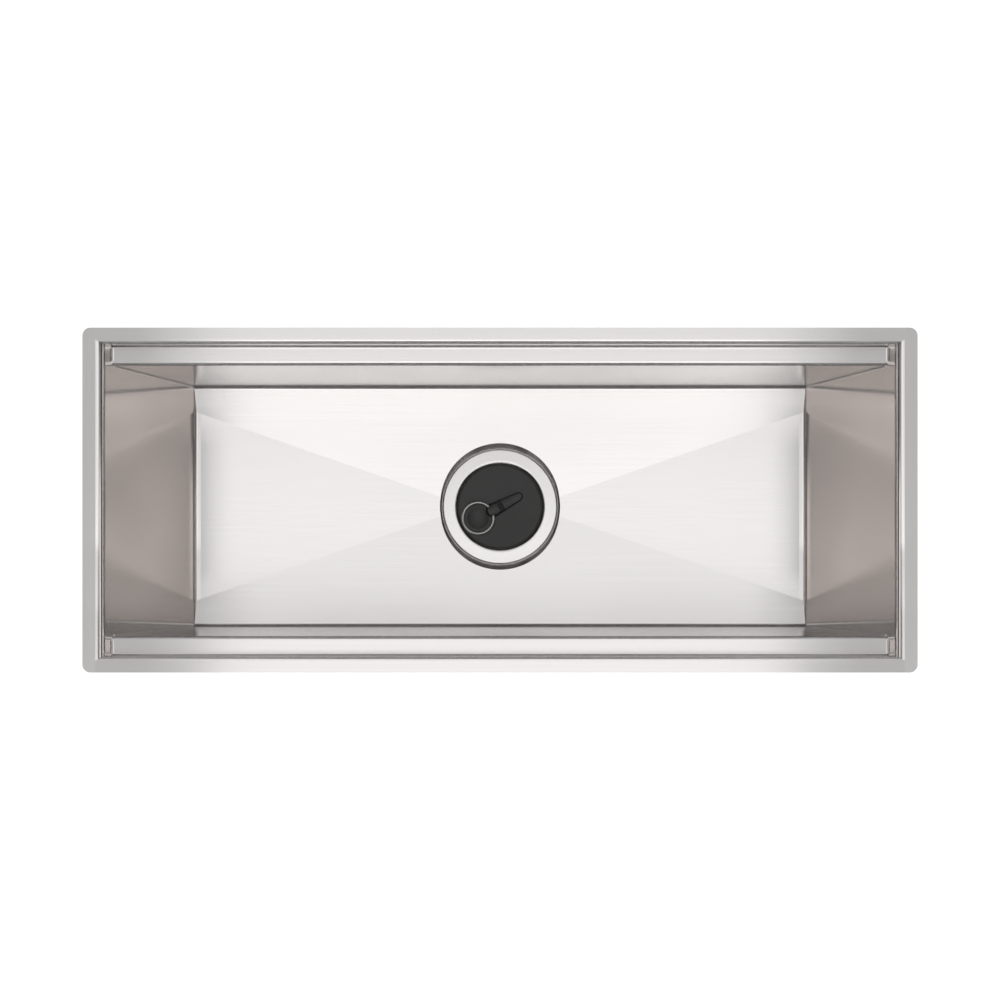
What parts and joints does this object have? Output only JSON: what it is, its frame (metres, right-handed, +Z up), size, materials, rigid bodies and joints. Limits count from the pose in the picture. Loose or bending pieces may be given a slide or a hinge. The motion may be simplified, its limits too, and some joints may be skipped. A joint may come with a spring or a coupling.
{
  "type": "trough sink",
  "caption": "Long narrow undermount trough sink with stepped ledges, leaning ends and a creased floor falling to a central drain, with a lift-out stopper and pull ring.",
  "frame": {"origin": "middle of the opening, in the plane of the rim's top face, where the worktop's underside sits", "axes": "+X along the trough, +Y towards the back, +Z up out of the bowl"},
  "size_m": [0.736, 0.304, 0.3006],
  "materials": {
    "sink_steel": "satin, brushed along the trough",
    "pad_rubber": "matt sheet rubber",
    "drain_steel": "fine satin",
    "soft_seal": "matt",
    "fibre": "matt fibre card",
    "cast_nut": "die-cast, dull",
    "brass_spigot": "turned",
    "nylon": "matt white",
    "pipe_chrome": "polished plate",
    "stopper_black": "matt moulded",
    "seal_rubber": "matt",
    "ring_wire": "polished wire"
  },
  "bodies": {
    "basin": {"floor_pan": "sink_steel", "back_panel": "sink_steel", "front_panel": "sink_steel", "left_end_panel": "sink_steel", "right_end_panel": "sink_steel", "floor_pad_left": "pad_rubber", "floor_pad_right": "pad_rubber", "left_end_pad": "pad_rubber", "right_end_pad": "pad_rubber", "front_pad": "pad_rubber", "back_pad": "pad_rubber", "drain_body": "drain_steel", "flange_seal": "soft_seal", "under_gasket": "soft_seal", "friction_washer": "fibre", "lock_nut": "cast_nut", "strainer_grid": "drain_steel", "outlet_spigot": "brass_spigot", "tailpiece_washer": "nylon", "tailpiece": "pipe_chrome", "coupling_nut": "pipe_chrome"},
    "stopper": {"stopper_cap": "stopper_black", "stopper_seal": "seal_rubber"},
    "ring": {"pull_ring": "ring_wire"}
  },
  "joints": [
    {"name": "stopper_lift", "type": "slide", "parent": "basin", "child": "stopper", "axis": [0, 0, 1], "range_m": [0, 0.21]},
    {"name": "ring_swing", "type": "hinge", "parent": "stopper", "child": "ring", "pos_m": [-0.00901, -0.00479, -0.16962], "axis": [-0.4695, 0.8829, 0], "range_deg": [0, 180]}
  ]
}
